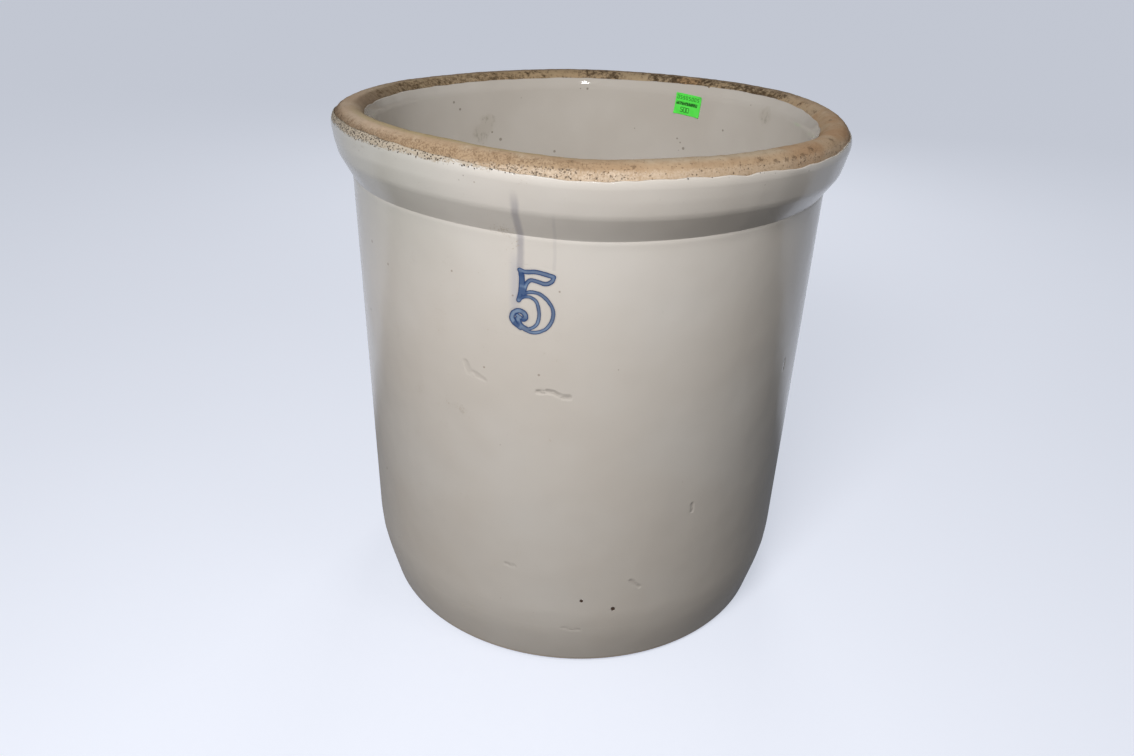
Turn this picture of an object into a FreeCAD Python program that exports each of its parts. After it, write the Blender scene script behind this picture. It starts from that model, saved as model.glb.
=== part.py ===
"""Stoneware storage crock of five gallons, bare clay at the lip and foot, glazed inside and out.

Lengths are in millimetres and angles in degrees. Z is up, and the origin is the centre of the
foot, on the surface that the crock stands on. The front, where the capacity is marked, faces -Y.
"""
import FreeCAD, Part
import math
import os

import Sketcher

DOC = FreeCAD.newDocument("StonewareCrock")

# Driving sizes: name, value and what it measures. Clay sizes are taken under the glaze. A depth
# is measured down from the crest of the lip, a height up from the floor, an inset in from the
# straight wall and an overhang out from it.
SIZES = (
    ("rim_height", 346.5, "height of the crest of the lip, at its highest"),
    ("wall_radius", 152.2, "outside of the straight wall"),
    ("wall_thickness", 10.8, "clay of the straight wall"),
    ("floor_thickness", 19.5, "clay of the bottom slab"),
    ("floor_round", 16.0, "hollow corner between the inside wall and the bottom"),
    ("foot_bevel", 2.4, "bevel turned on the edge of the foot"),
    ("foot_inset", 8.4, "inset of the wall at the top of that bevel"),
    ("heel_top", 39.0, "height where the tapered heel runs into the straight wall"),
    ("collar_depth", 43.6, "depth of the crease under the collar"),
    ("cove_overhang", 8.2, "overhang at the top of the cove over the crease"),
    ("cove_depth", 29.8, "depth of that place"),
    ("shoulder_overhang", 10.0, "overhang of the collar's shoulder"),
    ("shoulder_depth", 21.5, "depth of the shoulder"),
    ("lip_overhang", 12.0, "overhang of the lip at its widest"),
    ("lip_depth", 11.0, "depth of the widest place"),
    ("lip_draw", 0.6, "how far the lip has drawn in again at the outside glaze's edge"),
    ("outer_glaze_depth", 7.6, "depth of the outside glaze's edge"),
    ("neck_depth", 12.0, "depth where the bore starts to open into the lip"),
    ("neck_flare", 2.6, "how far it has opened at the inside glaze's edge"),
    ("inner_glaze_depth", 5.2, "depth of the inside glaze's edge"),
    ("turn_flare", 6.2, "how far it has opened where the lip turns over"),
    ("turn_depth", 1.3, "depth of that turn"),
    ("crest_flat", 1.6, "flat worn along the crest, on which the crock was fired"),
    ("glaze_coat", 0.55, "thickness of the fired glaze"),
    ("bare_foot", 3.0, "height of bare clay left round the foot"),
    ("label_width", 22.0, "paper sale label, round the wall"),
    ("label_height", 18.0, "paper sale label, up the wall"),
    ("label_glue", 0.25, "glue between the inside glaze and the label"),
    ("label_paper", 0.15, "thickness of the label"),
    ("label_depth", 20.6, "depth of the middle of the label"),
    ("label_azimuth", 57.4, "turn of the label from +X"),
    ("label_tilt", 5.0, "how crookedly the label was stuck on"),
)

# Cutting shapes run past the clay by this much, so that no face is shared with a cut
PAST = 20.0

# Share of the corner's round that lies outside its middle, on each side
ROUND_MIDDLE = 1 - math.sqrt(0.5)

# Sizes that follow from the driving ones, as expressions on the sheet
BORE = "(Sizes.wall_radius - Sizes.wall_thickness)"
LIP_RADIUS = "(Sizes.wall_radius + Sizes.lip_overhang)"
LIP_MIDDLE = f"(({LIP_RADIUS} + {BORE}) / 2)"
LABEL_BACK = f"({BORE} - Sizes.glaze_coat - Sizes.label_glue)"
OUTER_GLAZE_EDGE = "(Sizes.rim_height - Sizes.outer_glaze_depth)"
INNER_GLAZE_EDGE = "(Sizes.rim_height - Sizes.inner_glaze_depth)"


def write_sheet():
    """Puts the driving sizes in a spreadsheet, each cell with its name."""
    sheet = DOC.addObject("Spreadsheet::Sheet", "Sizes")
    for row, (name, value, meaning) in enumerate(SIZES, start=1):
        sheet.set(f"A{row}", name)
        sheet.set(f"B{row}", str(value))
        sheet.set(f"C{row}", meaning)
        sheet.setAlias(f"B{row}", name)
    DOC.recompute()
    return sheet


SHEET = write_sheet()


def size(expression):
    """Value of an expression on the sheet, as a plain number."""
    value = SHEET.evalExpression(expression)
    return float(getattr(value, "Value", value))


def new_body(name):
    """An empty body, whose label names the sub-part."""
    body = DOC.addObject("PartDesign::Body", name)
    body.Label = name
    return body


def new_sketch(body, name):
    """A sketch on the body's XZ plane: across is the radius, up is the height."""
    sketch = body.newObject("Sketcher::SketchObject", name)
    plane = next(f for f in body.Origin.OriginFeatures if f.Role == "XZ_Plane")
    sketch.AttachmentSupport = [(plane, "")]
    sketch.MapMode = "FlatFace"
    return sketch


def crest_arc(low, crest):
    """Arc from a point below the crest up to it, level where it arrives."""
    across = low.x - crest.x
    down = crest.y - low.y
    radius = (across**2 + down**2) / (2 * down)
    centre = FreeCAD.Vector(crest.x, crest.y - radius, 0)
    middle = centre + ((low - centre) + (crest - centre)).normalize() * radius
    return Part.Arc(low, middle, crest)


def nearer_end(sketch, side, place):
    """1 or 2, for the start or the end of a side, whichever is at the place."""
    start = sketch.getPoint(side, 1)
    end = sketch.getPoint(side, 2)
    return 1 if start.distanceToPoint(place) < end.distanceToPoint(place) else 2


def hold(sketch, side, end, name, across, up):
    """Holds an end of a side at a radius and a height: expressions, or 0 for axis and floor."""
    for axis, kind, line, expression in (
        ("across", "DistanceX", -2, across),
        ("up", "DistanceY", -1, up),
    ):
        if expression == "0":
            sketch.addConstraint(Sketcher.Constraint("PointOnObject", side, end, line))
            continue
        distance = Sketcher.Constraint(kind, -1, 1, side, end, size(expression))
        index = sketch.addConstraint(distance)
        sketch.renameConstraint(index, f"{name}_{axis}")
        sketch.setExpression(f"Constraints.{name}_{axis}", expression)


def draw_outline(sketch, corners, arc_to=None):
    """Closed outline through corners (name, across, up), each held by its radius and height.

    Its sides are straight, but for the one that rises to the corner named in arc_to: that is
    an arc, tangent to the level line that goes on from there.
    """
    count = len(corners)
    places = [FreeCAD.Vector(size(across), size(up), 0) for _, across, up in corners]
    sides = []
    for i, here in enumerate(places):
        there = places[(i + 1) % count]
        if arc_to and corners[(i + 1) % count][0] == arc_to:
            sides.append(sketch.addGeometry(crest_arc(here, there)))
        else:
            sides.append(sketch.addGeometry(Part.LineSegment(here, there)))
    for i, (name, across, up) in enumerate(corners):
        before, after = sides[i - 1], sides[i]
        before_end = nearer_end(sketch, before, places[i])
        after_end = nearer_end(sketch, after, places[i])
        kind = "Tangent" if name == arc_to else "Coincident"
        sketch.addConstraint(Sketcher.Constraint(kind, before, before_end, after, after_end))
        hold(sketch, after, after_end, name, across, up)


def outside_corners(coat):
    """Half section of the crock's outside, filled to the axis, with a coat on the clay."""
    wall = f"(Sizes.wall_radius + {coat})"
    crest = f"(Sizes.rim_height + {coat})"
    return (
        ("middle", "0", "0"),
        ("foot", f"{wall} - Sizes.foot_inset - Sizes.foot_bevel", "0"),
        ("foot_edge", f"{wall} - Sizes.foot_inset", "Sizes.foot_bevel"),
        ("heel_top", wall, "Sizes.heel_top"),
        ("crease", wall, "Sizes.rim_height - Sizes.collar_depth"),
        ("cove", f"{wall} + Sizes.cove_overhang", "Sizes.rim_height - Sizes.cove_depth"),
        (
            "shoulder",
            f"{wall} + Sizes.shoulder_overhang",
            "Sizes.rim_height - Sizes.shoulder_depth",
        ),
        ("lip", f"{wall} + Sizes.lip_overhang", "Sizes.rim_height - Sizes.lip_depth"),
        ("glaze_edge", f"{wall} + Sizes.lip_overhang - Sizes.lip_draw", OUTER_GLAZE_EDGE),
        ("crest", f"{LIP_MIDDLE} + Sizes.crest_flat / 2", crest),
        ("top", "0", crest),
    )


def inside_corners(coat):
    """Half section of the crock's inside, from the axis to the middle of the crest."""
    floor = f"(Sizes.floor_thickness + {coat})"
    wall = f"({BORE} - {coat})"
    crest = f"(Sizes.rim_height + {coat})"
    above = f"(Sizes.rim_height + {PAST})"
    return (
        ("floor", "0", floor),
        ("floor_edge", f"{wall} - Sizes.floor_round", floor),
        (
            "floor_corner",
            f"{wall} - Sizes.floor_round * {ROUND_MIDDLE}",
            f"{floor} + Sizes.floor_round * {ROUND_MIDDLE}",
        ),
        ("wall_foot", wall, f"{floor} + Sizes.floor_round"),
        ("neck", wall, "Sizes.rim_height - Sizes.neck_depth"),
        ("glaze_edge", f"{wall} + Sizes.neck_flare", INNER_GLAZE_EDGE),
        ("turn", f"{wall} + Sizes.turn_flare", f"{crest} - Sizes.turn_depth"),
        ("crest", f"{LIP_MIDDLE} - Sizes.crest_flat / 2", crest),
        ("crest_middle", LIP_MIDDLE, crest),
        ("above", LIP_MIDDLE, above),
        ("top", "0", above),
    )


def band_corners(low, high):
    """Half section of a flat slice wider than the crock, between two heights."""
    beyond = f"{LIP_RADIUS} + {PAST}"
    return (
        ("low_middle", "0", low),
        ("low_edge", beyond, low),
        ("high_edge", beyond, high),
        ("high_middle", "0", high),
    )


def turn(body, kind, name, corners, arc_to=None):
    """Turns an outline once round Z, as a Revolution that adds or a Groove that cuts."""
    sketch = new_sketch(body, f"{name}_outline")
    draw_outline(sketch, corners, arc_to)
    DOC.recompute()
    feature = body.newObject(f"PartDesign::{kind}", name)
    feature.Profile = sketch
    feature.ReferenceAxis = (sketch, ["V_Axis"])
    feature.Angle = 360
    DOC.recompute()


def make_stoneware_body():
    """Fired clay: bottom, heel, wall, and the collar with its rolled lip, in one piece."""
    body = new_body("stoneware_body")
    turn(body, "Revolution", "thrown_form", outside_corners("0"), "crest")
    turn(body, "Groove", "thrown_hollow", inside_corners("0"))
    return body


def make_outer_glaze():
    """Glaze coat outside, from the bare foot up over the collar to the bare lip."""
    body = new_body("outer_glaze")
    turn(body, "Revolution", "outside_coat", outside_corners("Sizes.glaze_coat"), "crest")
    turn(body, "Groove", "clay_outside", outside_corners("0"), "crest")
    above = f"Sizes.rim_height + {PAST}"
    turn(body, "Groove", "bare_lip", band_corners(OUTER_GLAZE_EDGE, above))
    turn(body, "Groove", "bare_foot", band_corners("0", "Sizes.bare_foot"))
    return body


def make_inner_glaze():
    """Glaze coat inside, over the bottom and the wall up to the bare lip."""
    body = new_body("inner_glaze")
    turn(body, "Revolution", "clay_inside", inside_corners("0"))
    turn(body, "Groove", "inside_coat", inside_corners("Sizes.glaze_coat"))
    above = f"Sizes.rim_height + {PAST} * 2"
    turn(body, "Groove", "bare_crest", band_corners(INNER_GLAZE_EDGE, above))
    return body


def make_paper_label():
    """Sale label, a thin patch of the glazed bore, stuck on crookedly under the lip."""
    wall_side = DOC.addObject("Part::Cylinder", "label_wall_side")
    wall_side.setExpression("Radius", LABEL_BACK)
    wall_side.setExpression("Height", "Sizes.rim_height")
    room_side = DOC.addObject("Part::Cylinder", "label_room_side")
    room_side.setExpression("Radius", f"{LABEL_BACK} - Sizes.label_paper")
    room_side.setExpression("Height", "Sizes.rim_height")
    sheet = DOC.addObject("Part::Cut", "label_sheet")
    sheet.Base = wall_side
    sheet.Tool = room_side
    outline = DOC.addObject("Part::Box", "label_outline")
    outline.setExpression("Length", BORE)
    outline.setExpression("Width", "Sizes.label_width")
    outline.setExpression("Height", "Sizes.label_height")
    outline.setExpression(
        "Placement",
        "create(<<placement>>; create(<<vector>>; 0; 0; Sizes.rim_height - Sizes.label_depth);"
        " create(<<rotation>>; create(<<vector>>; 0; 0; 1); Sizes.label_azimuth))"
        " * create(<<placement>>; create(<<vector>>; 0; 0; 0);"
        " create(<<rotation>>; create(<<vector>>; 1; 0; 0); Sizes.label_tilt))"
        " * create(<<placement>>; create(<<vector>>; 0; -Sizes.label_width / 2;"
        " -Sizes.label_height / 2); create(<<rotation>>; 0; 0; 0))",
    )
    label = DOC.addObject("Part::Common", "paper_label")
    label.Label = "paper_label"
    label.Base = sheet
    label.Tool = outline
    return label


def check_document(parts):
    """Stops if any object has failed, or a sub-part isn't one valid solid."""
    DOC.recompute()
    for item in DOC.Objects:
        if {"Invalid", "Error"} & set(item.State):
            raise RuntimeError(f"{item.Name} failed: {item.State}")
    for part in parts:
        if part.Shape.isNull() or not part.Shape.isValid():
            raise RuntimeError(f"{part.Label} has no valid shape")
        if len(part.Shape.Solids) != 1:
            raise RuntimeError(f"{part.Label} holds {len(part.Shape.Solids)} solids")


def write_parts(parts):
    """Writes each sub-part to its own STEP file, named as its label."""
    os.makedirs("parts", exist_ok=True)
    for part in parts:
        part.Shape.exportStep(f"parts/{part.Label}.step")
        print(f"{part.Label}: {part.Shape.Volume:.0f} cubic millimetres")


PARTS = (
    make_stoneware_body(),
    make_outer_glaze(),
    make_inner_glaze(),
    make_paper_label(),
)
check_document(PARTS)
write_parts(PARTS)
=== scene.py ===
import math

import bmesh
import bpy
from mathutils import Matrix, Vector, noise
from mathutils.geometry import interpolate_bezier


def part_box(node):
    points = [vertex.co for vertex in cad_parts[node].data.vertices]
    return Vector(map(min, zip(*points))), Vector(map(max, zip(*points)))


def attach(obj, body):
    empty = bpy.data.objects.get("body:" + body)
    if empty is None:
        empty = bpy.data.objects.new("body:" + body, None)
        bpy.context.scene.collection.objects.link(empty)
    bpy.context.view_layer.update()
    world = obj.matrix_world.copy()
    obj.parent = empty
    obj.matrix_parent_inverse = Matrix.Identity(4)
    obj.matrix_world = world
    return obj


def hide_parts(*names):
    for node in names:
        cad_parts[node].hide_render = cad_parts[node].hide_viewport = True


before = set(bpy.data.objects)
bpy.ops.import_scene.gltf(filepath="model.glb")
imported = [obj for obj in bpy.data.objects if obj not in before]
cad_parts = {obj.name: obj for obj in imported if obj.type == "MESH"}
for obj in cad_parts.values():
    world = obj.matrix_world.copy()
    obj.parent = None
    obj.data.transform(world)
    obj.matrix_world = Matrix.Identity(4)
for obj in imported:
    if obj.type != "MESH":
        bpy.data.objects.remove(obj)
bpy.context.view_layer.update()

# Lengths are in metres. The crock stands on z = 0 and its front, with the number, faces -Y.

# Stoneware body
# One piece of buff stoneware: a flat bottom, a straight wall and a collar rolled over at the lip.
# It was fired standing upside down on its lip, so the lip stayed bare clay. The lip isn't quite
# round or level, and years of use have stained it.
LIP_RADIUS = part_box("stoneware_body")[1][0]
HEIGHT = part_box("stoneware_body")[1][2]
LIP_OVERHANG = 0.0120
WALL_THICK = 0.0108
WALL_RADIUS = LIP_RADIUS - LIP_OVERHANG
BORE_RADIUS = WALL_RADIUS - WALL_THICK
FOOT_INSET = 0.0108
FLOOR_TOP = 0.0195
FLOOR_ROUND = 0.016
HEEL_TOP = 0.039
COLLAR_DEPTH = 0.0436
CREASE = HEIGHT - COLLAR_DEPTH
OUTER_EDGE = HEIGHT - 0.0076
INNER_EDGE = HEIGHT - 0.0052
LIP_MIDDLE = (LIP_RADIUS + BORE_RADIUS) / 2
LIP_ROUNDING = 0.0112
LIP_ROUND_HEIGHT = HEIGHT - LIP_ROUNDING
LIP_ROUND_RADIUS = LIP_MIDDLE + 0.0008
# How far the surface wavers besides: the mouth's edge and the outside, in and out, and the crest,
# up and down. The mouth is also wider on the right.
MOUTH_WAVE = 0.0010
OUTSIDE_WAVE = 0.0003
CREST_WAVE = 0.0002
MOUTH_BULGE = 0.0018
STEPS_ROUND = 400
MERGE = 1e-6

# What is out of true, in millimetres every 15 degrees from the back: by the left to the front, and
# by the right to the back again. How far the lip lies below its highest place and in from true
# round, how far the shoulder of the collar lies in, how far it and the crease are lifted, and how
# far the glaze climbs the lip outside and inside.
LIP_DROPS = (
    2.7, 3.3, 4.0, 4.2, 3.9, 3.7, 3.2, 1.8, 0.4, 0.0, 0.0, 1.3,
    2.8, 1.9, 1.7, 1.7, 2.7, 3.2, 2.7, 1.9, 1.7, 2.2, 2.7, 2.6,
)
LIP_PUSHES = (
    0.6, 0.5, 0.3, 0.2, 0.2, 0.2, 0.4, 1.2, 2.4, 3.2, 2.8, 1.4,
    0.6, 0.3, 0.1, 0.0, 0.0, 0.0, 0.0, 0.1, 0.3, 0.5, 0.6, 0.6,
)
SHOULDER_PUSHES = (
    0.0, 0.0, 0.0, 0.0, 0.0, 0.0, 0.2, 0.4, 1.0, 1.6, 1.6, 1.2,
    0.3, -0.4, -0.4, -0.3, -0.3, -0.2, 0.0, 0.0, 0.0, 0.0, 0.0, 0.0,
)
SHOULDER_LIFTS = (
    0.0, 0.0, 0.0, 0.0, 0.3, 0.6, 1.0, 1.3, 1.5, 1.8, 1.4, 0.3,
    -0.5, 0.0, 0.7, 0.8, 0.9, 0.8, 0.3, 0.0, 0.0, 0.0, 0.0, 0.0,
)
CREASE_LIFTS = (
    0.0, 0.0, 0.0, 0.0, 0.0, 0.2, 0.6, 1.2, 1.5, 1.5, 1.2, 0.2,
    -1.0, -0.6, 0.2, 0.9, 1.6, 1.3, 0.5, 0.1, 0.0, 0.0, 0.0, 0.0,
)
OUTER_CLIMBS = (
    0.0, 0.0, 0.0, 0.0, 0.4, 1.2, 2.2, 3.2, 3.2, 2.8, 1.8, 0.2,
    -1.0, 0.2, -0.4, -0.9, 1.2, 1.6, 0.6, 0.0, 0.0, 0.0, 0.0, 0.0,
)
INNER_CLIMBS = (
    0.0, 0.0, 0.0, 0.0, 0.0, 0.0, 0.0, 0.0, 0.0, 0.0, 0.0, 0.0,
    0.0, 0.0, 0.0, 0.0, 0.0, 0.0, 0.0, 0.5, 1.2, 1.3, 0.8, 0.2,
)


def outside(coat):
    """Corners of the outside, foot to lip: radius, height and how far each is rounded."""
    wall = WALL_RADIUS + coat
    return [
        (wall - FOOT_INSET, 0.0, 0.0),
        (wall - 0.0084, 0.0024, 0.0016),
        (wall, HEEL_TOP, 0.014),
        (wall, CREASE - 0.0050, 0.0012),
        (wall + 0.0002, CREASE - 0.0012, 0.0010),
        (wall, CREASE, 0.0004),
        (wall + 0.0082, HEIGHT - 0.0298, 0.0024),
        (wall + 0.0100, HEIGHT - 0.0215, 0.0030),
        (wall + LIP_OVERHANG, HEIGHT - 0.0110, 0.0022),
        (wall + 0.0114, OUTER_EDGE, 0.0010),
    ]


def crest():
    """Corners of the bare lip between the two edges of the glaze, rounded until they meet."""
    return [
        (WALL_RADIUS + 0.0092, HEIGHT, 0.0066),
        (BORE_RADIUS + 0.0062, HEIGHT, 0.0050),
    ]


def inside(coat):
    """Corners of the inside, lip to bottom."""
    wall = BORE_RADIUS - coat
    return [
        (wall + 0.0026, INNER_EDGE, 0.0010),
        (wall, HEIGHT - 0.0120, 0.0030),
        (wall, FLOOR_TOP + coat, FLOOR_ROUND),
    ]


def shape_line(bm, corners, closed=False):
    """Draws the corners as a line in the XZ plane and rounds each of them."""
    verts = [bm.verts.new((radius, 0, height)) for radius, height, _ in corners]
    pairs = list(zip(verts, verts[1:]))
    if closed:
        pairs.append((verts[-1], verts[0]))
    for pair in pairs:
        bm.edges.new(pair)
    for vert, (_, _, rounding) in zip(verts, corners):
        if rounding:
            bmesh.ops.bevel(
                bm, geom=[vert], offset=rounding, offset_type="OFFSET", segments=6,
                profile=0.5, affect="VERTICES", material=-1,
            )


def divide_line(bm, low, high, step):
    """Cuts the edges whose middle is between two heights into lengths of about a step."""
    for edge in list(bm.edges):
        middle = (edge.verts[0].co.z + edge.verts[1].co.z) / 2
        cuts = round(edge.calc_length() / step) - 1
        if low <= middle <= high and cuts > 0:
            bmesh.ops.subdivide_edges(bm, edges=[edge], cuts=cuts)


def turn_on_wheel(bm):
    """Turns the line once round Z and closes its seam and poles."""
    bmesh.ops.spin(
        bm, geom=bm.verts[:] + bm.edges[:], cent=(0, 0, 0), axis=(0, 0, 1), dvec=(0, 0, 0),
        angle=math.tau, steps=STEPS_ROUND, use_merge=True, use_normal_flip=False,
        use_duplicate=False,
    )
    bmesh.ops.remove_doubles(bm, verts=bm.verts, dist=MERGE)
    bmesh.ops.recalc_face_normals(bm, faces=bm.faces)


def ease(low, high, value):
    """0 below low, 1 above high and a soft step between them."""
    share = min(max((value - low) / (high - low), 0), 1)
    return share * share * (3 - 2 * share)


def around(point, lumps, layer):
    """Noise from -1 to 1 that runs round the crock with about that many lumps."""
    flat = Vector((point.x, point.y, 0)).normalized() * lumps / 4
    return noise.noise(Vector((flat.x, flat.y, layer)))


def out_of_true(values, point):
    """A value between those of a table, in metres, at the point's place round the crock."""
    place = (math.degrees(math.atan2(point.x, -point.y)) + 180) / 360 * len(values)
    first = math.floor(place)
    a, b, c, d = (values[(first + i) % len(values)] for i in (-1, 0, 1, 2))
    t = place - first
    bend = (2 * a - 5 * b + 4 * c - d) * t + (3 * b - a - 3 * c + d) * t * t
    return (b + (c - a + bend) * t / 2) / 1000


def finish_by_hand(bm):
    """Takes the collar and the lip out of true, as the potter's hand left them."""
    for vert in bm.verts:
        point = vert.co
        if point.z < CREASE - 0.012:
            continue
        radius = math.hypot(point.x, point.y)
        # How far up the collar, its head and the lip the point lies, each from 0 to 1
        collar = ease(CREASE, HEIGHT - 0.012, point.z)
        head = ease(HEIGHT - 0.034, HEIGHT - 0.006, point.z)
        lip = ease(HEIGHT - 0.014, HEIGHT - 0.002, point.z)
        # How much of each table the point takes: the bore leans in evenly, the outside in bands
        if radius < BORE_RADIUS + 0.006:
            top, shoulder, crease = min(point.z / (HEIGHT - 0.015), 1), 0, 0
        else:
            top = ease(HEIGHT - 0.022, HEIGHT - 0.010, point.z)
            shoulder = ease(CREASE, CREASE + 0.012, point.z) * (1 - top)
            crease = ease(CREASE - 0.012, CREASE - 0.001, point.z)
            crease *= 1 - ease(CREASE + 0.001, CREASE + 0.012, point.z)
        inner = lip * (1 - ease(LIP_MIDDLE - 0.008, LIP_MIDDLE + 0.004, radius))
        outer = collar * ease(LIP_MIDDLE - 0.004, LIP_MIDDLE + 0.008, radius)
        shift = MOUTH_WAVE * inner * (around(point, 14, 1) + 0.5 * around(point, 40, 2))
        shift -= OUTSIDE_WAVE * outer * (1 + around(point, 10, 3) + 0.7 * around(point, 34, 4))
        shift += MOUTH_BULGE * inner * max(point.x / radius, 0) ** 8
        shift -= top * max(out_of_true(LIP_PUSHES, point), 0)
        shift -= shoulder * out_of_true(SHOULDER_PUSHES, point)
        drop = CREST_WAVE * lip * (1 + 0.8 * around(point, 12, 5) + 0.5 * around(point, 30, 6))
        drop += head * max(out_of_true(LIP_DROPS, point), 0)
        drop -= shoulder * out_of_true(SHOULDER_LIFTS, point)
        drop -= crease * out_of_true(CREASE_LIFTS, point)
        vert.co = Vector((
            point.x * (radius + shift) / radius,
            point.y * (radius + shift) / radius,
            point.z - drop,
        ))


def finish_piece(name, bm, material):
    """Makes the bmesh a smooth object at the origin that rides on the crock."""
    mesh = bpy.data.meshes.new(name)
    bm.to_mesh(mesh)
    bm.free()
    mesh.polygons.foreach_set("use_smooth", [True] * len(mesh.polygons))
    mesh.materials.append(material)
    piece = bpy.data.objects.new(name, mesh)
    bpy.context.scene.collection.objects.link(piece)
    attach(piece, "root")
    return piece


def colour(red, green, blue):
    """A colour given as it looks on a screen, 0 to 255, as the linear light of a shader."""
    shares = (value / 255 for value in (red, green, blue))
    light = [v / 12.92 if v <= 0.04045 else ((v + 0.055) / 1.055) ** 2.4 for v in shares]
    return (*light, 1.0)


class Glaze:
    """One output of a material's nodes: maths on it adds the nodes that work it out."""

    def __init__(self, tree, socket=None):
        self.tree = tree
        self.socket = socket

    def node(self, kind, settings, inputs, output=0):
        """Adds a node: its settings, the values or links of its sockets, and its output."""
        node = self.tree.nodes.new(kind)
        for name, value in settings.items():
            setattr(node, name, value)
        for key, value in inputs.items():
            if isinstance(value, Glaze):
                self.tree.links.new(value.socket, node.inputs[key])
            else:
                node.inputs[key].default_value = value
        return Glaze(self.tree, node.outputs[output])

    def maths(self, operation, first, second=0.0):
        return self.node("ShaderNodeMath", {"operation": operation}, {0: first, 1: second})

    def __add__(self, other):
        return self.maths("ADD", self, other)

    __radd__ = __add__

    def __sub__(self, other):
        return self.maths("SUBTRACT", self, other)

    def __rsub__(self, other):
        return self.maths("SUBTRACT", other, self)

    def __mul__(self, other):
        return self.maths("MULTIPLY", self, other)

    __rmul__ = __mul__

    def __truediv__(self, other):
        return self.maths("DIVIDE", self, other)

    def __pow__(self, other):
        return self.maths("POWER", self, other)

    def __abs__(self):
        return self.maths("ABSOLUTE", self)

    def angle(self, other):
        """The angle, in radians, whose tangent is this over the other."""
        return self.maths("ARCTAN2", self, other)

    def part(self, name):
        """X, Y or Z of a place."""
        return self.node("ShaderNodeSeparateXYZ", {}, {0: self}, output=name)

    def most(self, other):
        return self.maths("MAXIMUM", self, other)

    def least(self, other):
        return self.maths("MINIMUM", self, other)

    def rise(self, low, high):
        """0 at low and 1 at high, with a soft step between them, either way round."""
        settings = {"interpolation_type": "SMOOTHSTEP"}
        inputs = {"Value": self, "From Min": low, "From Max": high}
        return self.node("ShaderNodeMapRange", settings, inputs)

    def mix(self, base, over):
        """The base colour, painted over with another where this mask is 1."""
        inputs = {0: self, 6: base, 7: over}
        return self.node("ShaderNodeMix", {"data_type": "RGBA"}, inputs, output=2)


def new_material(name):
    """A material, its empty start for shader maths and its Principled node."""
    material = bpy.data.materials.new(name)
    material.use_nodes = True
    tree = material.node_tree
    return material, Glaze(tree), tree.nodes["Principled BSDF"]


def connect(start, shader, **links):
    """Links worked-out values to the shader's sockets, named with _ for a space."""
    for name, value in links.items():
        start.tree.links.new(value.socket, shader.inputs[name.replace("_", " ")])


def position(start):
    """Where on the crock: the point, its x, y and z, its radius and its turn from the front."""
    point = start.node("ShaderNodeTexCoord", {}, {}, output="Object")
    x, y, z = (point.part(name) for name in "XYZ")
    radius = (x * x + y * y) ** 0.5
    return point, x, y, z, radius, x.angle(y * -1)


def grain(point, scale, detail=3.0, roughness=0.55, stretch=(1, 1, 1)):
    """Noise round 0.5, with so many lumps to the metre."""
    place = point
    if stretch != (1, 1, 1):
        place = point.node("ShaderNodeMapping", {}, {0: point, "Scale": stretch})
    inputs = {"Vector": place, "Scale": scale, "Detail": detail, "Roughness": roughness}
    return point.node("ShaderNodeTexNoise", {}, inputs)


def pits(point, scale):
    """Distance from scattered points, in shares of their spacing, and each point's own value."""
    inputs = {"Vector": point, "Scale": scale}
    away = point.node("ShaderNodeTexVoronoi", {}, inputs, output="Distance")
    own = point.node("ShaderNodeTexVoronoi", {}, inputs, output="Color")
    value = own.node("ShaderNodeSeparateColor", {}, {0: own}, output=0)
    return away, value


def sector(x, y, radius, azimuth, width):
    """Mask of a stretch of the crock, round an azimuth in degrees from the front."""
    angle = math.radians(azimuth)
    towards = (x * math.sin(angle) - y * math.cos(angle)) / radius
    edge = math.radians(width / 2)
    return towards.rise(math.cos(edge), math.cos(edge * 0.35))


def relief(start, height, distance, strength=1.0, under=None):
    """Bump from a height in shares of a distance."""
    inputs = {"Height": height, "Distance": distance, "Strength": strength}
    if under:
        inputs["Normal"] = under
    return start.node("ShaderNodeBump", {}, inputs)


# Dark stains on the far lip: azimuth from the front and width, both in degrees, and strength
FAR_STAINS = (
    (157, 17, 1.0), (123, 28, 1.0), (141, 22, 0.8), (177, 16, 0.8), (-160, 14, 0.20),
    (-138, 40, 0.12), (-112, 34, 0.15),
)
# Small dark smudges on the lip: azimuth in degrees, slope of the lip there in radians, and radius
SMUDGES = (
    (82, 1.90, 0.0020), (95, 2.30, 0.0022), (59, 1.00, 0.0026), (28, 0.60, 0.0016),
    (33, 0.80, 0.0022), (36.5, 0.58, 0.0016), (39, 0.60, 0.0016), (41.5, 0.58, 0.0018),
    (44.5, 0.62, 0.0020), (48, 0.85, 0.0022), (-3, 1.15, 0.0020), (8, 0.85, 0.0016),
)


def dots(across, up, places, ragged=0.0):
    """Mask of round marks on an unrolled surface, each with its place and its size."""
    mask = 0
    for place, height, size in places:
        gap = ((across - place) ** 2 + (up - height) ** 2) ** 0.5 + ragged * size
        mask = gap.rise(size, size * 0.6) + mask
    return mask.least(1.0)


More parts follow.
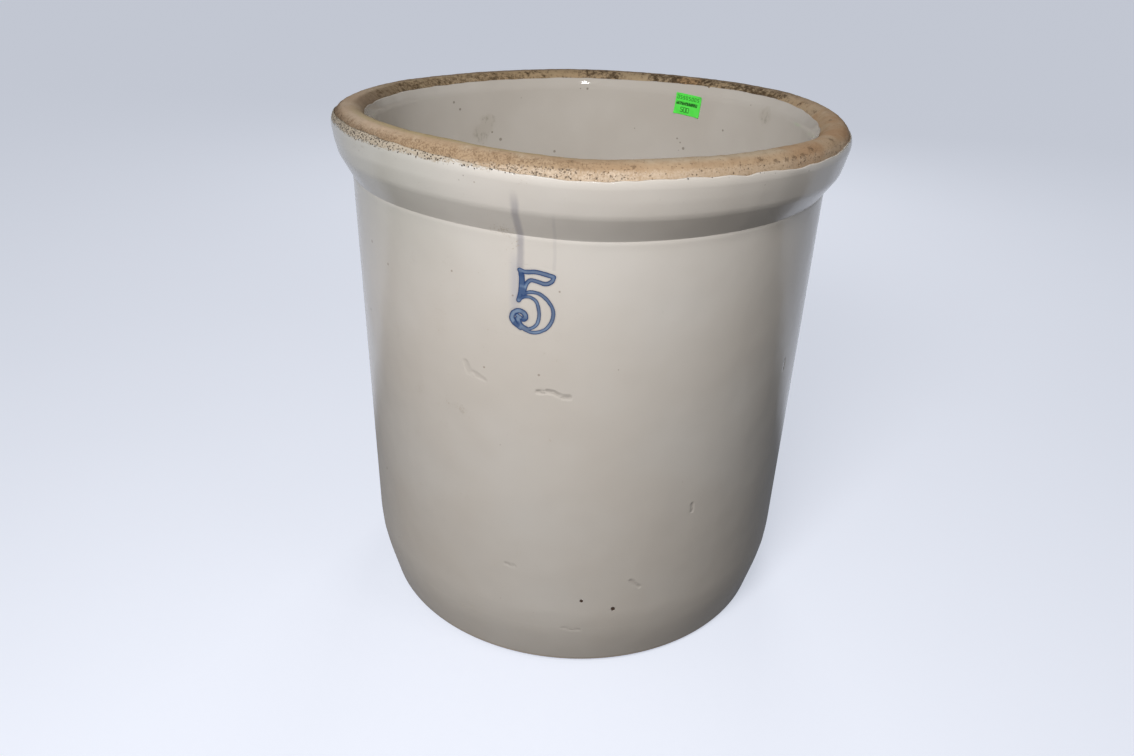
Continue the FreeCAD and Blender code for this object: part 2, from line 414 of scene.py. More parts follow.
def make_bare_clay():
    material, start, shader = new_material("bare_clay")
    point, x, y, z, radius, turn = position(start)
    clouds = grain(point, 24, 4)
    lumps = grain(point, 110, 4, 0.6)
    mottle = grain(point, 330, 3, 0.65)
    dust = grain(point, 1000, 2, 0.6)
    # The slope of the lip in radians: 0 faces out, 1.57 up and 3.14 into the mouth
    bank = (z - LIP_ROUND_HEIGHT).angle(radius - LIP_MIDDLE)
    outer = bank.rise(1.35, 0.75)
    low = bank.rise(0.80, 0.38)
    inner = bank.rise(1.7, 2.3)
    far = (y / radius).rise(0.0, 0.75)
    left = sector(x, y, radius, -72, 80)
    left_front = sector(x, y, radius, -34, 90)
    far_left = sector(x, y, radius, -128, 100)
    right = sector(x, y, radius, 78, 90)
    smear = sector(x, y, radius, 52, 26)

    tan = inner.mix(colour(177, 161, 138), colour(166, 150, 124))
    tan = (outer * 0.7).mix(tan, colour(176, 147, 115))
    tan = (clouds.rise(0.42, 0.62) * 0.6).mix(tan, colour(164, 135, 104))
    tan = (lumps.rise(0.45, 0.7) * 0.4).mix(tan, colour(150, 122, 92))
    tan = (mottle.rise(0.50, 0.72) * 0.30).mix(tan, colour(134, 108, 82))
    blush = clouds.rise(0.45, 0.58).mix(colour(190, 165, 137), colour(180, 143, 109))
    tan = (right * 0.6).mix(tan, blush)
    tan = (far * 0.6).mix(tan, colour(182, 158, 124))
    tan = (far * bank.rise(2.00, 1.80) * 0.6).mix(tan, colour(140, 122, 106))
    tan = (left * outer * 0.75).mix(tan, colour(124, 106, 90))
    # Painted highlight: the lip's top and inner side are lighter on the left, where light falls.
    tan = (left * (1 - outer) * 0.55).mix(tan, colour(188, 167, 146))
    tan = (left_front * outer * 0.35).mix(tan, colour(156, 138, 114))
    tan = (left_front * bank.rise(1.45, 1.80) * 0.6).mix(tan, colour(166, 152, 112))
    dull = far_left * bank.rise(1.9, 2.1) * mottle.rise(0.35, 0.6)
    tan = (dull * 0.5).mix(tan, colour(146, 126, 92))
    shade = sector(x, y, radius, -116, 90) * bank.rise(1.95, 2.35)
    shade = shade * (mottle + dust).rise(0.75, 1.1)
    shade = shade.most(sector(x, y, radius, -97, 46) * bank.rise(1.75, 2.20) * 0.9)
    tan = (shade * 0.55).mix(tan, colour(96, 78, 62))
    flame = sector(x, y, radius, 149, 11) * bank.rise(1.8, 2.1)
    tan = (flame * 0.6).mix(tan, colour(182, 140, 96))
    patch = (dust * 0.9 + mottle * 0.4).rise(0.58, 0.80) * bank.rise(1.50, 1.05)
    tan = (patch * left_front.most(smear * 0.3) * 0.6).mix(tan, colour(110, 88, 64))
    places = [
        (math.radians(azimuth) * LIP_MIDDLE, slope * LIP_ROUNDING, size)
        for azimuth, slope, size in SMUDGES
    ]
    ragged = (mottle - 0.5) * 3 + (dust - 0.5) * 3
    smudge = dots(turn * LIP_MIDDLE, bank * LIP_ROUNDING, places, ragged)
    tan = (smudge * 0.6).mix(tan, colour(96, 78, 58))

    stain = 0
    for azimuth, width, strength in FAR_STAINS:
        stain = sector(x, y, radius, azimuth, width) * strength + stain
    blot = stain * 0.42 + (lumps - 0.5) * 1.3 + (mottle - 0.5) * 1.9 + (dust - 0.5) * 0.9
    soot = blot.rise(-0.02, 0.62) * (y / radius).rise(-0.15, 0.25)
    soot = soot * (0.35 + 0.65 * bank.rise(1.75, 2.05))
    tan = (soot * 0.9).mix(tan, colour(80, 64, 46))

    bite = outer * (low * 0.7 + 0.3)
    cream = (low * 0.7 + (dust - 0.5) * 1.3 + (lumps - 0.5) * 0.9).rise(0.15, 1.05)
    cream = cream * outer * (1 - left) * (1 - 0.55 * (x / radius).rise(0.05, 0.5))
    tan = (cream * 0.85).mix(tan, colour(214, 196, 174))
    busy = left * 1.2 + left_front * 0.55 + smear * 0.15 + 0.05
    crowd = bite * busy.least(1.0) * (0.60 + (lumps - 0.5) * 2.6) + soot * 0.25
    fine, fine_own = pits(point, 1500)
    pepper = fine.rise(0.55, 0.35) * (fine_own - 1 + crowd).rise(-0.10, 0.0)
    coarse, coarse_own = pits(point, 900)
    pit = coarse.rise(0.50, 0.32) * (coarse_own - 1 + crowd).rise(-0.05, 0.0)
    pit = pit * (low + left * outer * 0.5 + soot).rise(0.15, 0.5)
    tan = (pepper * 0.5).mix(tan, colour(104, 80, 58))
    tan = (pit * (0.5 + 0.5 * left)).mix(tan, colour(56, 47, 36))

    rough = 0.66 + 0.22 * dust
    height = dust * 0.25 + lumps * 0.5 + mottle * 0.2 - pit * 0.8 - pepper * 0.4
    normal = relief(start, height, 0.0006)
    connect(start, shader, Base_Color=tan, Roughness=rough, Normal=normal)
    return material


# How deep the dimples of the bare lip are on average
DIMPLE_DEPTH = 0.00022


def make_stoneware_body():
    bm = bmesh.new()
    line = [(0, 0, 0), *outside(0), *crest(), *inside(0), (0, FLOOR_TOP, 0)]
    shape_line(bm, line)
    divide_line(bm, HEIGHT - 0.016, HEIGHT, 0.0011)
    turn_on_wheel(bm)
    finish_by_hand(bm)
    for vert in bm.verts:
        if vert.co.z > HEIGHT - 0.012:
            bump = noise.noise(vert.co * 160) + 0.5 * noise.noise(vert.co * 420)
            vert.co -= vert.normal * DIMPLE_DEPTH * (1 + bump)
    piece = finish_piece("clay_body", bm, make_bare_clay())
    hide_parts("stoneware_body")


make_stoneware_body()


# Outside glaze
# A fired coat of white glaze, about half a millimetre thick, poured over the outside from the foot
# to just under the lip. It pooled in the crease under the collar, where its darker colour is partly
# that pool and partly painted shade under the collar. Cobalt from the number ran towards the lip
# while the crock was upside down in the kiln.
GLAZE_COAT = 0.00055
# The coat's hidden face lies this far inside the clay, so that no gap shows at its edges
GLAZE_SEAT = 0.00020
FOOT_BARE = 0.0030
# Where the cobalt began to run: the height of the number's top
RUN_START = 0.2845
# Each run's place across the unrolled wall, its half width and strength, how far it leans to the
# side over the collar and how much sooner it fades
RUNS = ((-0.0333, 0.0029, 0.42, -0.0010, 0.0), (-0.0153, 0.0014, 0.12, -0.0004, 0.006))
HAZE_ACROSS = -0.0362
# Shallow scratches: how deep each is, in shares, and its line of places across and up
SCRATCHES = (
    (0.5, ((-0.0672, 0.2232), (-0.0649, 0.2168), (-0.0602, 0.2164), (-0.0547, 0.2146))),
    (1.0, ((-0.0229, 0.2126), (-0.0188, 0.2133), (-0.0147, 0.2132), (-0.0092, 0.2105),
           (-0.0051, 0.2105))),
    (0.6, ((-0.0420, 0.0855), (-0.0365, 0.0848))),
    (0.9, ((0.0385, 0.0765), (0.0440, 0.0708))),
    (0.7, ((0.0765, 0.1280), (0.0768, 0.1230))),
    (0.7, ((0.1551, 0.2045), (0.1547, 0.1980))),
    (0.5, ((-0.0040, 0.0372), (0.0060, 0.0366))),
)
# Chips and specks: place across, height and radius
CHIPS = ((0.0072, 0.0622, 0.0013), (0.0279, 0.0546, 0.0017))
IRON_SPECKS = (
    (-0.1495, 0.2741, 0.0012), (-0.1289, 0.2662, 0.0010), (-0.1637, 0.2246, 0.0012),
    (-0.1565, 0.1077, 0.0011), (-0.0225, 0.2233, 0.0009), (-0.0549, 0.2226, 0.0008),
    (-0.0375, 0.2689, 0.0007), (-0.0122, 0.2737, 0.0007), (-0.0743, 0.2764, 0.0008),
)


def slide_edge(bm, low, high, centre, reach, climbs, layer):
    """Moves a glaze's edge round the lip's centre by its climbs and by small drips and bays.

    The move grows from nothing at the low height to all of it at the high one. Drips and bays
    reach that many radians.
    """
    for vert in bm.verts:
        point = vert.co
        weight = ease(low, high, point.z)
        if not weight:
            continue
        wave = around(point, 26, layer) + 0.8 * around(point, 70, layer + 1)
        radius = math.hypot(point.x, point.y)
        across, up = radius - centre[0], point.z - centre[1]
        climb = out_of_true(climbs, point) / across
        angle = weight * (reach * wave + climb)
        # The crest is broader than round, so an outer edge that climbs also moves out
        stretch = 1 + 0.2 * max(weight * climb, 0) * (across > 0)
        across, up = across * stretch, up * stretch
        moved = centre[0] + across * math.cos(angle) - up * math.sin(angle)
        vert.co = Vector((
            point.x * moved / radius,
            point.y * moved / radius,
            centre[1] + across * math.sin(angle) + up * math.cos(angle),
        ))


def reach_of(across, up, line):
    """Distance on the unrolled wall from a line through places in metres."""
    nearest = None
    for (x0, z0), (x1, z1) in zip(line, line[1:]):
        run, climb = x1 - x0, z1 - z0
        size = run * run + climb * climb
        share = ((across - x0) * run + (up - z0) * climb) / size
        share = share.most(0.0).least(1.0)
        dx = across - x0 - share * run
        dz = up - z0 - share * climb
        gap = (dx * dx + dz * dz) ** 0.5
        nearest = gap if nearest is None else nearest.least(gap)
    return nearest


def make_outside_glaze():
    material, start, shader = new_material("outside_glaze")
    point, x, y, z, radius, turn = position(start)
    across = turn * WALL_RADIUS
    clouds = grain(point, 9, 3)
    lumps = grain(point, 70, 3)
    dust = grain(point, 1200, 2, 0.6)
    left = sector(x, y, radius, -45, 120)
    # Painted shade: the glaze is greyer and darker on the collar and upper wall at the left.
    green = sector(x, y, radius, -66, 100) * z.rise(CREASE - 0.06, CREASE + 0.02)
    white = clouds.rise(0.3, 0.7).mix(colour(213, 208, 200), colour(208, 201, 191))
    white = (green * 0.7).mix(white, colour(186, 186, 178))
    # Partly pooled glaze and partly painted shade: darker from the crease up under the collar.
    pool_and_shade = z.rise(CREASE - 0.0006, CREASE + 0.0012) * z.rise(CREASE + 0.020, CREASE + 0.004)
    white = (pool_and_shade * 0.15).mix(white, colour(176, 168, 158))

    for place, width, strength, lean, fade in RUNS:
        drift = (grain(point, 60, 2) - 0.5) * 0.002 + z.rise(CREASE, CREASE + 0.014) * lean
        off = abs(across - place - drift)
        length = z.rise(RUN_START, RUN_START + 0.0015)
        length = length * z.rise(HEIGHT - 0.013 - 2 * fade, CREASE + 0.009 - fade)
        run = off.rise(width, width * 0.25) * length.rise(0.0, 0.8) * strength
        white = (run * (0.7 + 0.6 * lumps)).mix(white, colour(122, 120, 134))
    haze = abs(across - HAZE_ACROSS).rise(0.0046, 0.0)
    haze = haze * z.rise(0.254, 0.266) * z.rise(0.298, 0.280)
    white = (haze * 0.30).mix(white, colour(148, 150, 174))

    away, own = pits(point, 90)
    iron = away.rise(0.055, 0.03) * own.rise(0.86, 0.90)
    iron = iron.most(dots(across, z, IRON_SPECKS))
    white = (iron * 0.5).mix(white, colour(128, 104, 82))
    away, own = pits(point, 420)
    zone = z.rise(HEIGHT - 0.021, HEIGHT - 0.008)
    pinhole = away.rise(0.25, 0.12) * own.rise(0.95, 0.98) * (zone + 0.10 * lumps)
    white = (pinhole.least(1.0) * 0.8).mix(white, colour(92, 80, 66))

    edge = z.rise(OUTER_EDGE - 0.0035, OUTER_EDGE + 0.0006)
    worn = (edge + (lumps - 0.5) * 1.6 + (dust - 0.5) * 2.0 + 0.25 * left).rise(0.75, 0.95)
    stained = left.mix(colour(196, 174, 146), colour(180, 165, 143))
    white = (worn * 0.8).mix(white, stained)
    away, own = pits(point, 900)
    crowd = edge * 0.06 + (left * 0.5 + sector(x, y, radius, -66, 56) * 0.4) * edge
    crowd = crowd + (lumps - 0.5) * 1.2
    black = away.rise(0.50, 0.30) * (own - 1 + crowd).rise(-0.10, 0.0) * edge.rise(0.0, 0.3)
    white = (black * 0.9).mix(white, colour(58, 50, 42))

    chips = dots(across, z, CHIPS, dust - 0.5)
    white = chips.mix(white, colour(74, 52, 38))
    foot = z.rise(FOOT_BARE + 0.0032, FOOT_BARE)
    white = (foot * 0.5).mix(white, colour(176, 150, 120))

    cuts = 0
    for depth, line in SCRATCHES:
        gap = reach_of(across, z, line) + (lumps - 0.5) * 0.0035
        cuts = gap.rise(0.0024, 0.0003) * depth + cuts
    cuts = cuts * grain(point, 150, 2).rise(0.22, 0.48)
    white = (cuts * 0.14).mix(white, colour(150, 140, 128))

    height = lumps * 0.10 + clouds * 1.4 + grain(point, 26, 2) * 0.6
    height = height - cuts * 0.55 - chips * 0.6 - black * 0.3 - worn * 0.12
    normal = relief(start, height, 0.0009)
    rough = 0.14 + 0.35 * worn + 0.3 * chips + 0.05 * clouds
    connect(start, shader, Base_Color=white, Roughness=rough, Normal=normal)
    return material


def make_outer_glaze():
    bm = bmesh.new()
    # The coat ends in small rounds, over the bare foot and under the bare lip
    coat = outside(GLAZE_COAT)[1:]
    coat[0] = (coat[0][0] + 0.0001, FOOT_BARE, 0.0002)
    coat[-1] = (coat[-1][0] - 0.0001, OUTER_EDGE - 0.0002, 0.0003)
    # Its hidden face has no rounds, and leaves out the two corners that soften the crease
    seat = outside(-GLAZE_SEAT)[:0:-1]
    seat[-1] = (seat[-1][0], FOOT_BARE, 0.0)
    seat = [(r, h, 0.0) for r, h, _ in seat if h not in (CREASE - 0.0050, CREASE - 0.0012)]
    shape_line(bm, coat + seat, closed=True)
    turn_on_wheel(bm)
    centre = (LIP_ROUND_RADIUS, LIP_ROUND_HEIGHT)
    slide_edge(
        bm, HEIGHT - 0.014, OUTER_EDGE, centre, reach=0.09, climbs=OUTER_CLIMBS, layer=11,
    )
    finish_by_hand(bm)
    piece = finish_piece("outside_glaze_coat", bm, make_outside_glaze())
    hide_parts("outer_glaze")


make_outer_glaze()


# Capacity number
# A plain 5 for five gallons, drawn in cobalt blue with a double line before the crock was glazed.
# The colour pooled at the edges of each stroke and stayed watery in the middle.
NUMBER_ACROSS = -0.0250
NUMBER_HEIGHT = 0.2670
NUMBER_WIDTH = 0.030
NUMBER_TALL = 0.042
NUMBER_GRID = 0.0003
NUMBER_PROUD = 0.00003
# The strokes reach further to the left and down, and so does the patch that carries them
PATCH_SHIFT = (-0.0015, -0.0008)
# Each stroke's half width and its places, in millimetres from the number's middle
STROKES = (
    (1.30, ((-8.7, 16.9), (-5.4, 16.1), (-0.5, 16.6), (4.4, 15.9), (9.6, 14.6))),
    (1.20, ((9.6, 14.6), (8.8, 12.4), (7.0, 10.9), (4.5, 10.4), (1.5, 11.2), (-2.3, 11.8),
            (-4.4, 10.4), (-5.7, 7.6), (-6.6, 3.6))),
    (1.30, ((-8.3, 16.6), (-7.9, 11.8), (-8.0, 6.0), (-9.2, -0.3))),
    (1.20, ((-7.2, 14.0), (-7.0, 9.0), (-7.2, 4.0))),
    (1.05, ((-6.6, 3.4), (-4.4, 4.6), (-1.6, 5.1), (2.2, 4.5), (5.9, 1.9), (8.8, -2.1),
            (9.8, -6.0), (9.0, -10.7), (6.3, -15.0), (2.5, -17.4), (-1.3, -18.2), (-5.1, -17.3),
            (-9.0, -14.9))),
    (1.00, ((-9.0, -0.2), (-7.4, 1.3), (-5.6, 2.1), (-2.8, 2.1), (0.4, 0.1), (1.8, -4.1),
            (2.1, -8.7), (0.9, -13.2), (-2.0, -15.8), (-5.8, -16.9))),
    (1.55, ((-11.4, -13.9), (-13.0, -11.0), (-12.0, -7.8), (-9.1, -6.4), (-6.3, -7.4),
            (-5.2, -9.8), (-6.4, -11.2))),
    (1.60, ((-9.6, -11.0), (-8.8, -13.2), (-7.6, -15.0), (-4.6, -16.8))),
    (1.30, ((-11.6, -13.4), (-10.4, -14.9), (-8.2, -16.4))),
    (1.20, ((-9.9, -9.2), (-8.2, -10.2))),
)
# Places where the colour lay thick, in millimetres, each with its size
THICK_PLACES = ((-7.7, 12.0, 4.6), (-7.9, 4.0, 4.6), (-6.2, -12.6, 2.6), (-10.4, -14.4, 2.6))


def brush_path(line, steps=4):
    """A smooth path through a stroke's places."""
    path = []
    for i in range(len(line) - 1):
        places = [Vector(line[min(max(i + k, 0), len(line) - 1)]) for k in (-1, 0, 1, 2)]
        before, here, there, after = places
        leave, arrive = (there - before) / 6, (after - here) / 6
        bend = interpolate_bezier(here, here + leave, there - arrive, there, steps + 1)
        path += [(place.x, place.y) for place in bend[:-1]]
    return path + [line[-1]]


def stroke_share(across, up, strokes):
    """How far a place, in millimetres, is out from the nearest stroke's middle: 1 at its edge."""
    share = 2.0
    for half, line in strokes:
        for (x0, z0), (x1, z1) in zip(line, line[1:]):
            run, climb = x1 - x0, z1 - z0
            along = ((across - x0) * run + (up - z0) * climb) / (run * run + climb * climb)
            along = min(max(along, 0), 1)
            gap = math.hypot(across - x0 - along * run, up - z0 - along * climb)
            share = min(share, gap / half)
    return share


def make_cobalt():
    material, start, shader = new_material("cobalt_number")
    point, _, _, z, _, turn = position(start)
    share = start.node("ShaderNodeAttribute", {"attribute_name": "stroke"}, {}, output="Fac")
    water = grain(point, 240, 3)
    bleed = share + (water - 0.5) * 0.5
    across = (turn * WALL_RADIUS - NUMBER_ACROSS) * 1000
    up = (z - NUMBER_HEIGHT) * 1000
    thick = dots(across, up, THICK_PLACES)
    thin = grain(point, 90, 2).rise(0.40, 0.62)
    middle = bleed.rise(0.80, 0.30) * (1 - 0.75 * thick)
    blue = (middle * (0.50 + 0.50 * thin)).mix(colour(40, 66, 112), colour(126, 154, 188))
    blue = (water.rise(0.45, 0.7) * 0.30).mix(blue, colour(70, 100, 148))
    cover = bleed.rise(1.18, 0.80) * (1 - 0.30 * middle)
    cover = cover.most(share.rise(2.0, 1.0) * 0.10)
    connect(start, shader, Base_Color=blue, Alpha=cover)
    shader.inputs["Roughness"].default_value = 0.16
    return material


def make_capacity_number():
    bm = bmesh.new()
    bmesh.ops.create_grid(
        bm, x_segments=round(NUMBER_WIDTH / NUMBER_GRID),
        y_segments=round(NUMBER_TALL / NUMBER_GRID), size=0.5,
    )
    bmesh.ops.scale(bm, vec=(NUMBER_WIDTH, NUMBER_TALL, 1), verts=bm.verts)
    layer = bm.verts.layers.float.new("stroke")
    strokes = [(half, brush_path(line)) for half, line in STROKES]
    radius = WALL_RADIUS + GLAZE_COAT + NUMBER_PROUD
    for vert in bm.verts:
        across, up = vert.co.x + PATCH_SHIFT[0], vert.co.y + PATCH_SHIFT[1]
        vert[layer] = stroke_share(across * 1000, up * 1000, strokes)
        angle = (NUMBER_ACROSS + across) / WALL_RADIUS
        vert.co = Vector((radius * math.sin(angle), -radius * math.cos(angle), NUMBER_HEIGHT + up))
    bmesh.ops.recalc_face_normals(bm, faces=bm.faces)
    if bm.faces[:][0].normal.y > 0:
        bmesh.ops.reverse_faces(bm, faces=bm.faces)
    piece = finish_piece("capacity_number", bm, make_cobalt())


make_capacity_number()


# Inside glaze
# The same white glaze, swilled round the inside and poured out again. It ends in an uneven edge at
# the top of the bore, and holds a few iron specks and scuffs.
# Specks and scuffs: place across the unrolled bore, height and radius
SPECKS = (
    (-0.3273, 0.3242, 0.0012), (-0.3330, 0.3185, 0.0012), (-0.4156, 0.2807, 0.0013),
    (0.3300, 0.3105, 0.0010), (0.3645, 0.2911, 0.0014), (0.3706, 0.2981, 0.0009),
    (0.3677, 0.2953, 0.0008), (-0.4411, 0.3306, 0.0011), (-0.4355, 0.3306, 0.0006),
    (-0.3620, 0.2985, 0.0010), (-0.3694, 0.2923, 0.0015),
)
SCUFFS = ((-0.3556, 0.3015, 0.0110), (0.2882, 0.3290, 0.0080))


def make_inside_glaze():
    material, start, shader = new_material("inside_glaze")
    point, _, _, z, _, turn = position(start)
    clouds = grain(point, 12, 3)
    lumps = grain(point, 80, 3)
    dust = grain(point, 1200, 2, 0.6)
    white = clouds.rise(0.3, 0.7).mix(colour(205, 199, 190), colour(197, 190, 180))
    away, own = pits(point, 110)
    iron = away.rise(0.07, 0.035) * own.rise(0.84, 0.88)
    across = turn * BORE_RADIUS
    iron = iron.most(dots(across, z, SPECKS))
    scuff = dots(across, z, SCUFFS, (lumps - 0.5) * 2)
    white = (scuff * 0.12).mix(white, colour(150, 138, 112))
    scuff = scuff * grain(point, 260, 3, 0.7, (1, 1, 0.5)).rise(0.52, 0.66)
    white = (scuff * 0.30).mix(white, colour(116, 108, 86))
    white = (iron * 0.55).mix(white, colour(102, 90, 72))
    edge = z.rise(INNER_EDGE - 0.0022, INNER_EDGE + 0.0002)
    worn = (edge + (dust - 0.5) * 1.2 + (lumps - 0.5)).rise(0.70, 0.95)
    white = (worn * 0.7).mix(white, colour(176, 150, 116))
    height = lumps * 0.06 + clouds * 1.2 + grain(point, 30, 2) * 0.4 - worn * 0.15
    normal = relief(start, height, 0.0009)
    rough = 0.05 + 0.35 * worn + 0.02 * clouds
    connect(start, shader, Base_Color=white, Roughness=rough, Normal=normal)
    return material


def make_inner_glaze():
    bm = bmesh.new()
    coat = [(0, FLOOR_TOP + GLAZE_COAT, 0), *inside(GLAZE_COAT)[::-1]]
    coat[-1] = (coat[-1][0] + 0.0001, INNER_EDGE - 0.0002, 0.0003)
    seat = [(r, h, rounding) for r, h, rounding in inside(-GLAZE_SEAT)]
    seat.append((0, FLOOR_TOP - GLAZE_SEAT, 0))
    shape_line(bm, coat + seat)
    turn_on_wheel(bm)
    centre = (LIP_MIDDLE - 0.0008, HEIGHT - 0.013)
    slide_edge(
        bm, HEIGHT - 0.010, INNER_EDGE, centre, reach=0.045, climbs=INNER_CLIMBS, layer=21,
    )
    finish_by_hand(bm)
    piece = finish_piece("inside_glaze_coat", bm, make_inside_glaze())
    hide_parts("inner_glaze")


make_inner_glaze()


# Sale label
# A small fluorescent paper label with a dark bar and plain numbers, stuck crookedly on the glazed
# bore under the lip. Its corners have begun to lift.
LABEL_WIDTH = 0.022
LABEL_TALL = 0.018
LABEL_PAPER = 0.00015
LABEL_GLUE = 0.00025
CORNER_LIFT = 0.0006
EDGE_LIFT = 0.0001
LABEL_AZIMUTH = math.radians(57.4)
LABEL_TILT = math.radians(5)
LABEL_HEIGHT = HEIGHT - 0.0206
LABEL_GRID = 0.0002
# Each digit's line, on a grid 2 wide and 4 tall
DIGITS = {
    "0": ((0, 0), (2, 0), (2, 4), (0, 4), (0, 0)),
    "5": ((2, 4), (0, 4), (0.2, 2.3), (2, 2), (1.8, 0), (0, 0.2)),
}
# Each row's digits, its left end and foot, the step between digits, the size of their grid and
# half the width of their line, in millimetres
ROWS = (
    ("05505005", -9.6, 4.2, 2.45, 0.66, 0.20),
    ("500", -5.6, -6.8, 2.6, 0.95, 0.24),
)


def print_lines():
    """The printed numbers as strokes, in millimetres from the label's middle."""
    strokes = []
    for digits, left, bottom, step, size, half in ROWS:
        for place, digit in enumerate(digits):
            line = [(left + place * step + u * size, bottom + v * size) for u, v in DIGITS[digit]]
            strokes.append((half, line))
    return strokes


def make_label_paper():
    material, start, shader = new_material("label_paper")
    sheet = start.node("ShaderNodeUVMap", {"uv_map": "sheet"}, {})
    u, v = sheet.part("X"), sheet.part("Y")
    point = start.node("ShaderNodeTexCoord", {}, {}, output="Object")
    fibre = grain(point, 900, 3)
    soft = grain(point, 160, 2)
    green = soft.rise(0.3, 0.7).mix(colour(92, 246, 84), colour(104, 250, 94))
    bar = abs(v - 0.53).rise(0.085, 0.070) * abs(u - 0.46).rise(0.42, 0.41)
    bar = bar * fibre.rise(0.30, 0.50)
    share = start.node("ShaderNodeAttribute", {"attribute_name": "print"}, {}, output="Fac")
    ink = bar.most(share.rise(1.25, 0.85) * fibre.rise(0.20, 0.40))
    green = (ink * 0.85).mix(green, colour(24, 44, 24))
    rough = 0.55 + 0.2 * fibre
    normal = relief(start, fibre, 0.00005)
    connect(start, shader, Base_Color=green, Roughness=rough, Normal=normal)
    return material


def make_paper_label():
    bm = bmesh.new()
    bmesh.ops.create_grid(
        bm, x_segments=round(LABEL_WIDTH / LABEL_GRID), y_segments=round(LABEL_TALL / LABEL_GRID),
        size=0.5,
    )
    uvs = bm.loops.layers.uv.new("sheet")
    layer = bm.verts.layers.float.new("print")
    strokes = print_lines()
    for face in bm.faces:
        for loop in face.loops:
            loop[uvs].uv = (loop.vert.co.x + 0.5, loop.vert.co.y + 0.5)
    back = BORE_RADIUS - GLAZE_COAT - LABEL_GLUE
    for vert in bm.verts:
        across, up = vert.co.x, vert.co.y
        lift = CORNER_LIFT * ease(0.62, 1.0, 4 * abs(across * up)) + EDGE_LIFT * up * up
        side = across * LABEL_WIDTH
        rise = up * LABEL_TALL
        vert[layer] = stroke_share(side * 1000, rise * 1000, strokes)
        along = side * math.cos(LABEL_TILT) + rise * math.sin(LABEL_TILT)
        height = rise * math.cos(LABEL_TILT) - side * math.sin(LABEL_TILT)
        angle = LABEL_AZIMUTH - along / back
        radius = back - lift - LABEL_PAPER
        vert.co = Vector((
            radius * math.cos(angle), radius * math.sin(angle), LABEL_HEIGHT + height,
        ))
    bmesh.ops.recalc_face_normals(bm, faces=bm.faces)
    bmesh.ops.solidify(bm, geom=bm.faces[:], thickness=LABEL_PAPER)
    bmesh.ops.recalc_face_normals(bm, faces=bm.faces)
    finish_by_hand(bm)
    piece = finish_piece("sale_label", bm, make_label_paper())
    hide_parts("paper_label")


make_paper_label()


# Floor
# A plain pale studio floor, which isn't part of the crock. The camera sees it pale, and so does the
# glaze where it mirrors the far side. Light that bounces off it finds it duller, and dark on the
# right.
FLOOR_REACH = 20
FLOOR_GLOW = 0.84


def make_floor():
    bm = bmesh.new()
    bmesh.ops.create_grid(bm, x_segments=1, y_segments=1, size=FLOOR_REACH)
    material, start, shader = new_material("studio_floor")
    point = start.node("ShaderNodeTexCoord", {}, {}, output="Object")
    tone = grain(point, 3, 3)
    behind = point.part("Y").rise(0.10, 0.24)
    shaded = point.part("X").rise(-0.05, 0.25).mix(colour(142, 136, 128), colour(50, 48, 45))
    pale = tone.mix(colour(172, 174, 179), colour(180, 182, 187))
    seen = start.node("ShaderNodeLightPath", {}, {}, output="Is Camera Ray")
    mirrored = start.node("ShaderNodeLightPath", {}, {}, output="Is Glossy Ray")
    passed = start.node("ShaderNodeLightPath", {}, {}, output="Is Transmission Ray")
    watched = seen.most(mirrored * (0.22 + 0.78 * behind)).most(passed)
    glow = watched.mix((0, 0, 0, 1), colour(206, 211, 223))
    pale = watched.mix(shaded, pale)
    connect(start, shader, Base_Color=pale, Emission_Color=glow)
    shader.inputs["Emission Strength"].default_value = FLOOR_GLOW
    shader.inputs["Roughness"].default_value = 0.7
    mesh = bpy.data.meshes.new("floor")
    bm.to_mesh(mesh)
    bm.free()
    mesh.materials.append(material)
    floor = bpy.data.objects.new("floor", mesh)
    bpy.context.scene.collection.objects.link(floor)


make_floor()


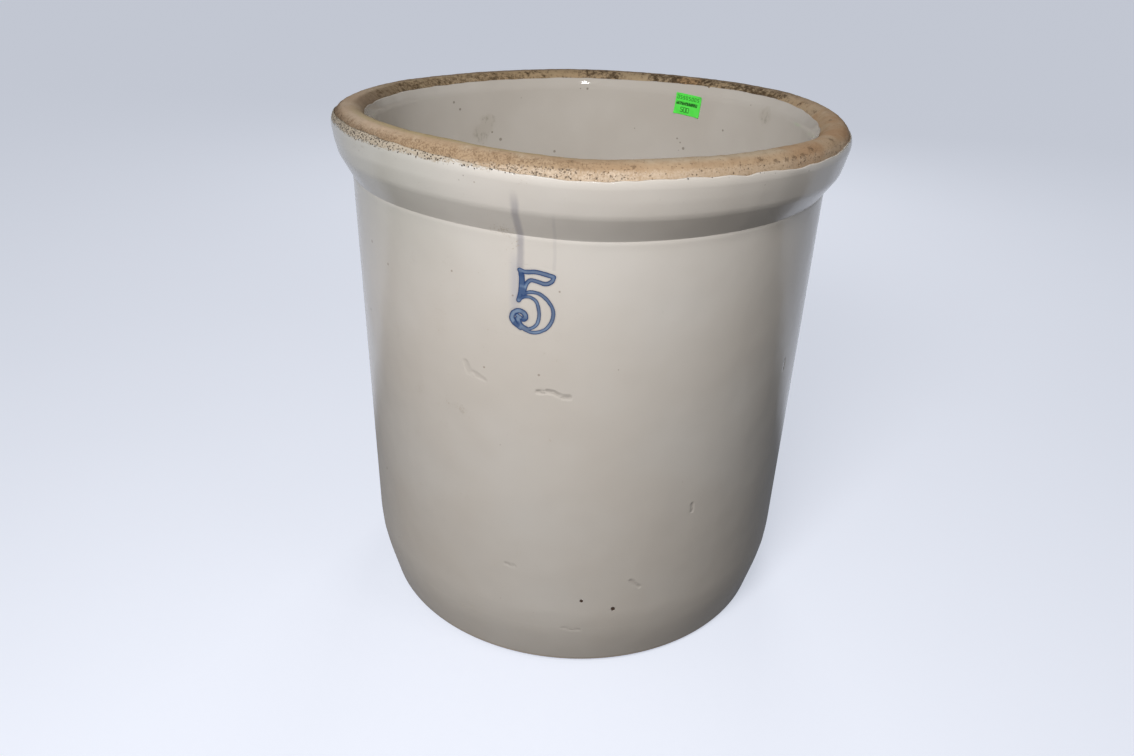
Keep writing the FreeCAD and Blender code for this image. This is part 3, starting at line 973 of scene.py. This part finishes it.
# Light
# A soft lamp in front, a weaker one on the right and a broad one behind light the crock, two small
# ones show only as bright spots in its glaze, and a plain dim room fills the shadows.
# Each lamp's name, place, size and power, whether it is soft light or only a spot, and its tint
LAMPS = (
    ("key_lamp", (-0.20, -0.68, 0.76), 0.30, 6.8, True, (0.99, 0.982, 0.995)),
    ("right_lamp", (0.40, -0.40, 0.62), 0.20, 0.45, True, (1.0, 0.98, 0.96)),
    ("back_lamp", (0.15, 1.30, 0.90), 0.50, 5.0, True, (1.0, 0.985, 0.98)),
    ("right_spot", (0.043, -0.85, 1.095), 0.085, 1.37, False, (1.0, 1.0, 1.0)),
    ("left_spot", (-0.028, -0.85, 1.008), 0.036, 0.25, False, (1.0, 1.0, 1.0)),
)
LAMPS_AIM = (0, 0, 0.2)
ROOM_COLOUR = (0.86, 0.90, 0.96, 1)
ROOM_STRENGTH = 0.045


def make_lights():
    for name, place, size, power, soft, tint in LAMPS:
        lamp = bpy.data.lights.new(name, "AREA")
        lamp.shape = "SQUARE"
        lamp.size = size
        lamp.energy = power
        lamp.color = tint
        holder = bpy.data.objects.new(name, lamp)
        aim = Vector(LAMPS_AIM) - Vector(place)
        turn = aim.to_track_quat("-Z", "Y").to_matrix().to_4x4()
        holder.matrix_world = Matrix.Translation(place) @ turn
        holder.visible_diffuse = soft
        holder.visible_glossy = not soft
        bpy.context.scene.collection.objects.link(holder)
    world = bpy.data.worlds.new("studio")
    world.use_nodes = True
    background = world.node_tree.nodes["Background"]
    background.inputs["Color"].default_value = ROOM_COLOUR
    background.inputs["Strength"].default_value = ROOM_STRENGTH
    bpy.context.scene.world = world


make_lights()


# Camera
# A photographer standing in front and a little above, looking down into the mouth of the crock.
CAMERA_PLACE = (0.0, -0.5682, 0.4415)
CAMERA_TURN = 0.938
CAMERA_DOWN = 27.73
CAMERA_ROLL = 1.947
LENS = 26.98


def make_camera():
    camera = bpy.data.cameras.new("camera")
    camera.lens = LENS
    camera.sensor_width = 36
    camera.clip_start = 0.01
    holder = bpy.data.objects.new("camera", camera)
    turn = Matrix.Rotation(math.radians(CAMERA_TURN), 4, "Z")
    tilt = Matrix.Rotation(math.radians(90 - CAMERA_DOWN), 4, "X")
    roll = Matrix.Rotation(math.radians(CAMERA_ROLL), 4, "Z")
    holder.matrix_world = Matrix.Translation(CAMERA_PLACE) @ turn @ tilt @ roll
    bpy.context.scene.collection.objects.link(holder)
    bpy.context.scene.camera = holder
    bpy.context.scene.view_settings.view_transform = "Standard"


make_camera()
